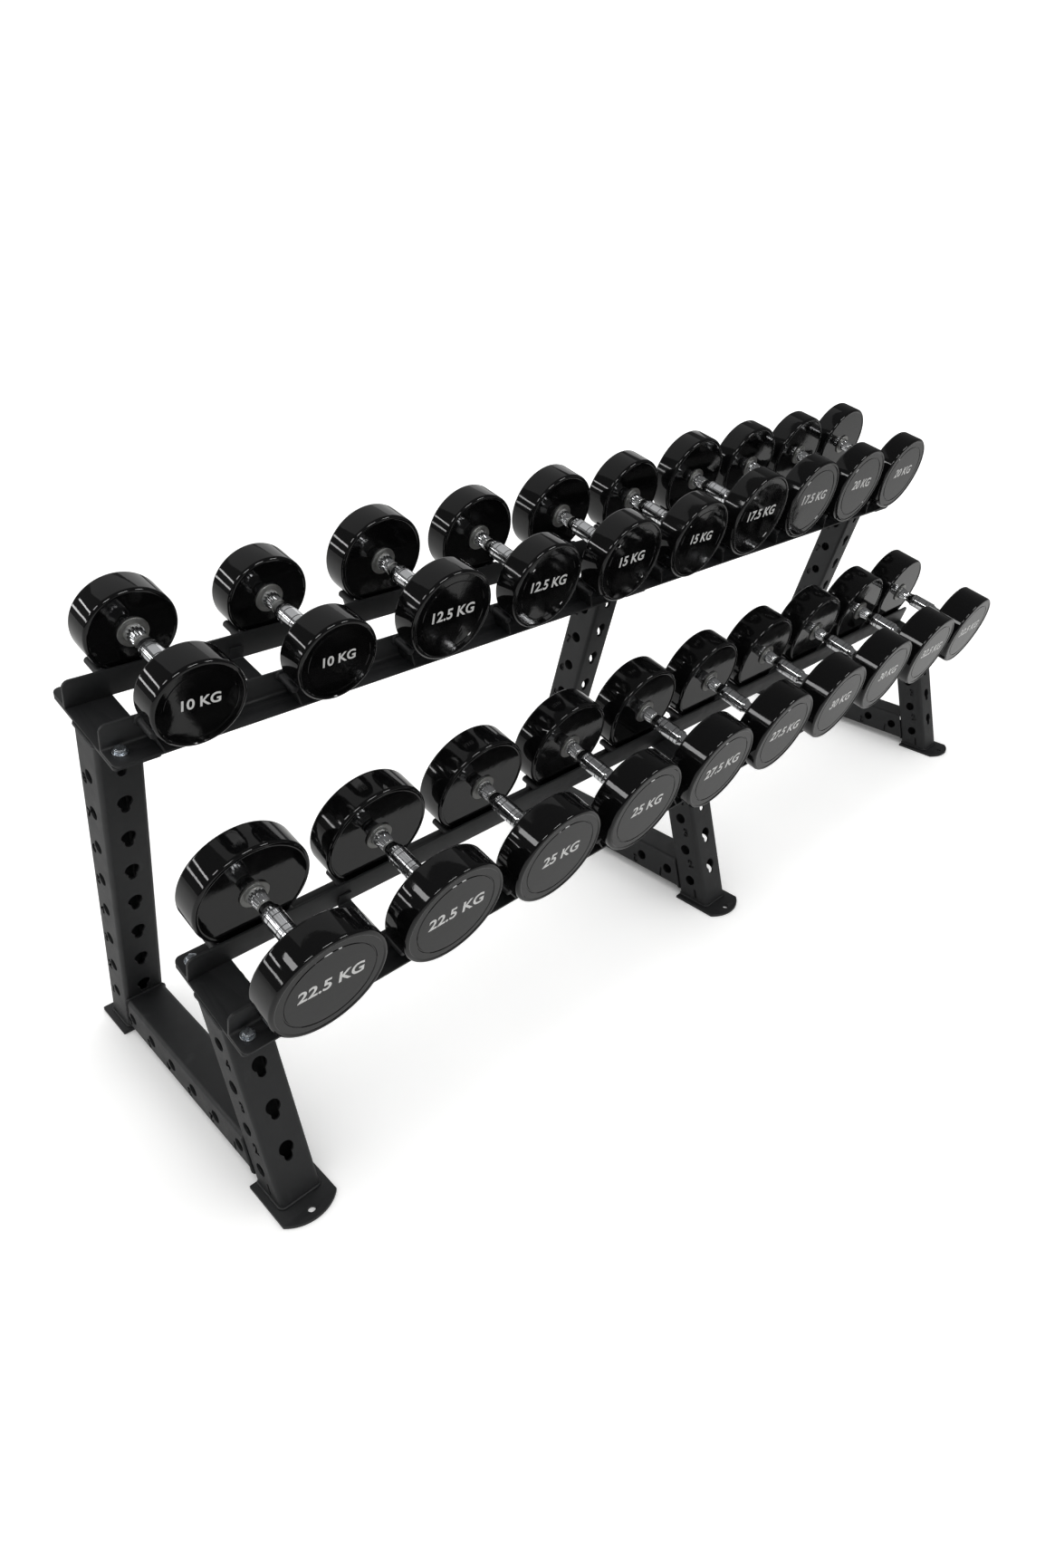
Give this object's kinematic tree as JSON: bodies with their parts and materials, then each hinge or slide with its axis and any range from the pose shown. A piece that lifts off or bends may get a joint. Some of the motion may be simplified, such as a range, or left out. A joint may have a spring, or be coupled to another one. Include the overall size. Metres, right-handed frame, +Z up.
{
  "type": "dumbbell rack",
  "caption": "Two-tier tilted dumbbell rack on square-tube frames, with cradle rods on angle rails and round-head dumbbells that lift off.",
  "frame": {"origin": "on the floor, midway along the rack's length and across its depth", "axes": "+X along the rails, -Y towards the front, +Z up"},
  "size_m": [2.4068, 0.7326, 0.9911],
  "materials": {
    "powder_coat": "matte black powder coat",
    "zinc": "zinc plated",
    "gloss_iron": "gloss black coating with chrome grip"
  },
  "bodies": {
    "rack": {"left_rear_post": "powder_coat", "left_front_post": "powder_coat", "left_base_tube": "powder_coat", "left_rear_foot": "powder_coat", "left_front_foot": "powder_coat", "left_upper_plate": "powder_coat", "left_lower_plate": "powder_coat", "left_upper_front_bolt": "zinc", "left_upper_rear_bolt": "zinc", "left_lower_front_bolt": "zinc", "left_lower_rear_bolt": "zinc", "middle_rear_post": "powder_coat", "middle_front_post": "powder_coat", "middle_base_tube": "powder_coat", "middle_rear_foot": "powder_coat", "middle_front_foot": "powder_coat", "middle_upper_plate": "powder_coat", "middle_lower_plate": "powder_coat", "middle_upper_front_bolt": "zinc", "middle_upper_rear_bolt": "zinc", "middle_lower_front_bolt": "zinc", "middle_lower_rear_bolt": "zinc", "right_rear_post": "powder_coat", "right_front_post": "powder_coat", "right_base_tube": "powder_coat", "right_rear_foot": "powder_coat", "right_front_foot": "powder_coat", "right_upper_plate": "powder_coat", "right_lower_plate": "powder_coat", "right_upper_front_bolt": "zinc", "right_upper_rear_bolt": "zinc", "right_lower_front_bolt": "zinc", "right_lower_rear_bolt": "zinc", "upper_front_rail": "powder_coat", "upper_rear_rail": "powder_coat", "upper_cross_strap": "powder_coat", "lower_front_rail": "powder_coat", "lower_rear_rail": "powder_coat", "lower_cross_strap": "powder_coat"},
    "upper_dumbbell_01": {"upper_dumbbell_01": "gloss_iron"},
    "upper_dumbbell_02": {"upper_dumbbell_02": "gloss_iron"},
    "upper_dumbbell_03": {"upper_dumbbell_03": "gloss_iron"},
    "upper_dumbbell_04": {"upper_dumbbell_04": "gloss_iron"},
    "upper_dumbbell_05": {"upper_dumbbell_05": "gloss_iron"},
    "upper_dumbbell_06": {"upper_dumbbell_06": "gloss_iron"},
    "upper_dumbbell_07": {"upper_dumbbell_07": "gloss_iron"},
    "upper_dumbbell_08": {"upper_dumbbell_08": "gloss_iron"},
    "upper_dumbbell_09": {"upper_dumbbell_09": "gloss_iron"},
    "upper_dumbbell_10": {"upper_dumbbell_10": "gloss_iron"},
    "lower_dumbbell_01": {"lower_dumbbell_01": "gloss_iron"},
    "lower_dumbbell_02": {"lower_dumbbell_02": "gloss_iron"},
    "lower_dumbbell_03": {"lower_dumbbell_03": "gloss_iron"},
    "lower_dumbbell_04": {"lower_dumbbell_04": "gloss_iron"},
    "lower_dumbbell_05": {"lower_dumbbell_05": "gloss_iron"},
    "lower_dumbbell_06": {"lower_dumbbell_06": "gloss_iron"},
    "lower_dumbbell_07": {"lower_dumbbell_07": "gloss_iron"},
    "lower_dumbbell_08": {"lower_dumbbell_08": "gloss_iron"},
    "lower_dumbbell_09": {"lower_dumbbell_09": "gloss_iron"},
    "lower_dumbbell_10": {"lower_dumbbell_10": "gloss_iron"}
  },
  "joints": [
    {"name": "upper_dumbbell_01_lift", "type": "slide", "parent": "rack", "child": "upper_dumbbell_01", "axis": [0, -0.2588, 0.9659], "range_m": [0, 0.12]},
    {"name": "upper_dumbbell_02_lift", "type": "slide", "parent": "rack", "child": "upper_dumbbell_02", "axis": [0, -0.2588, 0.9659], "range_m": [0, 0.12]},
    {"name": "upper_dumbbell_03_lift", "type": "slide", "parent": "rack", "child": "upper_dumbbell_03", "axis": [0, -0.2588, 0.9659], "range_m": [0, 0.12]},
    {"name": "upper_dumbbell_04_lift", "type": "slide", "parent": "rack", "child": "upper_dumbbell_04", "axis": [0, -0.2588, 0.9659], "range_m": [0, 0.12]},
    {"name": "upper_dumbbell_05_lift", "type": "slide", "parent": "rack", "child": "upper_dumbbell_05", "axis": [0, -0.2588, 0.9659], "range_m": [0, 0.12]},
    {"name": "upper_dumbbell_06_lift", "type": "slide", "parent": "rack", "child": "upper_dumbbell_06", "axis": [0, -0.2588, 0.9659], "range_m": [0, 0.12]},
    {"name": "upper_dumbbell_07_lift", "type": "slide", "parent": "rack", "child": "upper_dumbbell_07", "axis": [0, -0.2588, 0.9659], "range_m": [0, 0.12]},
    {"name": "upper_dumbbell_08_lift", "type": "slide", "parent": "rack", "child": "upper_dumbbell_08", "axis": [0, -0.2588, 0.9659], "range_m": [0, 0.12]},
    {"name": "upper_dumbbell_09_lift", "type": "slide", "parent": "rack", "child": "upper_dumbbell_09", "axis": [0, -0.2588, 0.9659], "range_m": [0, 0.12]},
    {"name": "upper_dumbbell_10_lift", "type": "slide", "parent": "rack", "child": "upper_dumbbell_10", "axis": [0, -0.2588, 0.9659], "range_m": [0, 0.12]},
    {"name": "lower_dumbbell_01_lift", "type": "slide", "parent": "rack", "child": "lower_dumbbell_01", "axis": [0, -0.2588, 0.9659], "range_m": [0, 0.12]},
    {"name": "lower_dumbbell_02_lift", "type": "slide", "parent": "rack", "child": "lower_dumbbell_02", "axis": [0, -0.2588, 0.9659], "range_m": [0, 0.12]},
    {"name": "lower_dumbbell_03_lift", "type": "slide", "parent": "rack", "child": "lower_dumbbell_03", "axis": [0, -0.2588, 0.9659], "range_m": [0, 0.12]},
    {"name": "lower_dumbbell_04_lift", "type": "slide", "parent": "rack", "child": "lower_dumbbell_04", "axis": [0, -0.2588, 0.9659], "range_m": [0, 0.12]},
    {"name": "lower_dumbbell_05_lift", "type": "slide", "parent": "rack", "child": "lower_dumbbell_05", "axis": [0, -0.2588, 0.9659], "range_m": [0, 0.12]},
    {"name": "lower_dumbbell_06_lift", "type": "slide", "parent": "rack", "child": "lower_dumbbell_06", "axis": [0, -0.2588, 0.9659], "range_m": [0, 0.12]},
    {"name": "lower_dumbbell_07_lift", "type": "slide", "parent": "rack", "child": "lower_dumbbell_07", "axis": [0, -0.2588, 0.9659], "range_m": [0, 0.12]},
    {"name": "lower_dumbbell_08_lift", "type": "slide", "parent": "rack", "child": "lower_dumbbell_08", "axis": [0, -0.2588, 0.9659], "range_m": [0, 0.12]},
    {"name": "lower_dumbbell_09_lift", "type": "slide", "parent": "rack", "child": "lower_dumbbell_09", "axis": [0, -0.2588, 0.9659], "range_m": [0, 0.12]},
    {"name": "lower_dumbbell_10_lift", "type": "slide", "parent": "rack", "child": "lower_dumbbell_10", "axis": [0, -0.2588, 0.9659], "range_m": [0, 0.12]}
  ]
}
